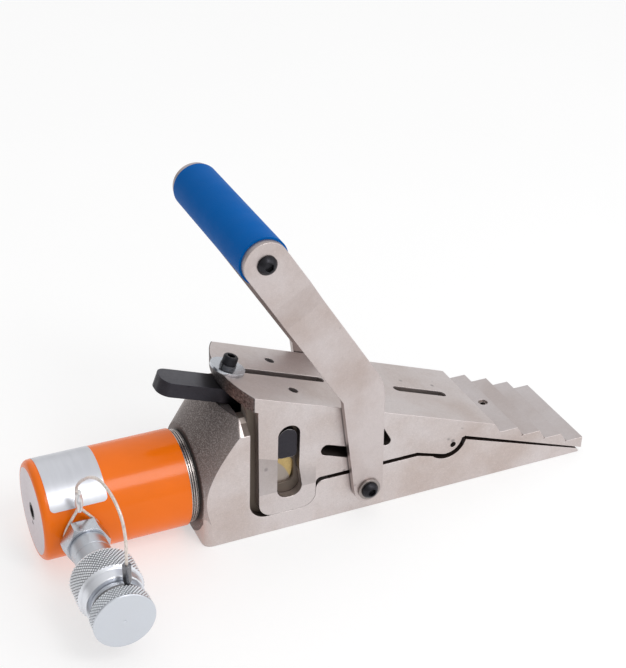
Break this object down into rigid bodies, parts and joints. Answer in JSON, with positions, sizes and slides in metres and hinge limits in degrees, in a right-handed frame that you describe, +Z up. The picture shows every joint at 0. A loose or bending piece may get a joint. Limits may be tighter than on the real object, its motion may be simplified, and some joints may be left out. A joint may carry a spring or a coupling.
{
  "type": "hydraulic wedge spreader",
  "caption": "Hydraulic wedge spreader with stepped jaws, a short cylinder with a side coupler, and a swinging carrying handle.",
  "frame": {"origin": "middle of the lower jaw's flat sole, on the centre plane", "axes": "+X forward to the jaw tips, +Y to the left side, +Z up"},
  "size_m": [0.4018, 0.1874, 0.234],
  "materials": {
    "jaw_steel": "satin",
    "bright_steel": "polished",
    "dark_steel": "satin",
    "black_screw": "satin",
    "zinc": "satin",
    "bronze": "satin",
    "orange_paint": "gloss",
    "blue_grip": "satin",
    "seal_rubber": "matte",
    "tether_steel": "satin"
  },
  "bodies": {
    "lower_jaw_body": {"lower_jaw": "jaw_steel", "slide_pads": "bronze", "guide_blocks": "dark_steel", "cylinder_barrel": "orange_paint", "end_plug": "zinc", "lock_ring": "jaw_steel", "jaw_gasket": "seal_rubber", "rod_gland": "bronze", "rod_seal": "seal_rubber", "spring_guide": "zinc", "return_spring": "bright_steel", "coupler_adapter": "zinc", "coupler_body": "zinc", "tether_wire": "tether_steel", "tether_crimp": "zinc", "pivot_screws": "black_screw", "pivot_washers": "zinc", "friction_washers": "bronze"},
    "wedge_body": {"wedge": "dark_steel", "tongue_bar": "dark_steel", "lift_screw": "black_screw", "lift_washer": "zinc", "lift_lock_washer": "zinc", "piston_rod": "bright_steel", "piston": "bright_steel", "piston_seal": "seal_rubber"},
    "upper_jaw_body": {"upper_jaw": "jaw_steel", "tread_set_screw": "black_screw", "plate_set_screws": "black_screw", "nose_pins": "dark_steel"},
    "handle_body": {"handle_arm_left": "jaw_steel", "handle_arm_right": "jaw_steel", "grip": "blue_grip", "grip_rod": "bright_steel", "grip_screws": "black_screw"},
    "collar_body": {"coupler_collar": "zinc"},
    "cap_body": {"dust_cap": "zinc", "tether_ferrule": "zinc"}
  },
  "joints": [
    {"name": "wedge_slide", "type": "slide", "parent": "lower_jaw_body", "child": "wedge_body", "axis": [1, 0, 0], "range_m": [0, 0.062], "deforming": ["return_spring"]},
    {"name": "jaw_lift", "type": "slide", "parent": "lower_jaw_body", "child": "upper_jaw_body", "axis": [0, 0, 1], "range_m": [0, 0.0226]},
    {"name": "handle_swing", "type": "hinge", "parent": "lower_jaw_body", "child": "handle_body", "pos_m": [-0.0298, 0, 0.0204], "axis": [0, 1, 0], "range_deg": [-38, 98]},
    {"name": "collar_turn", "type": "hinge", "parent": "lower_jaw_body", "child": "collar_body", "pos_m": [-0.2289, -0.08, 0.0351], "axis": [0, -1, 0], "range_deg": [-180, 180]},
    {"name": "cap_off", "type": "slide", "parent": "lower_jaw_body", "child": "cap_body", "axis": [0, -1, 0], "range_m": [0, 0.03]}
  ],
  "couplings": [
    {"joint": "jaw_lift", "follows": "wedge_slide", "ratio": 0.36397}
  ]
}
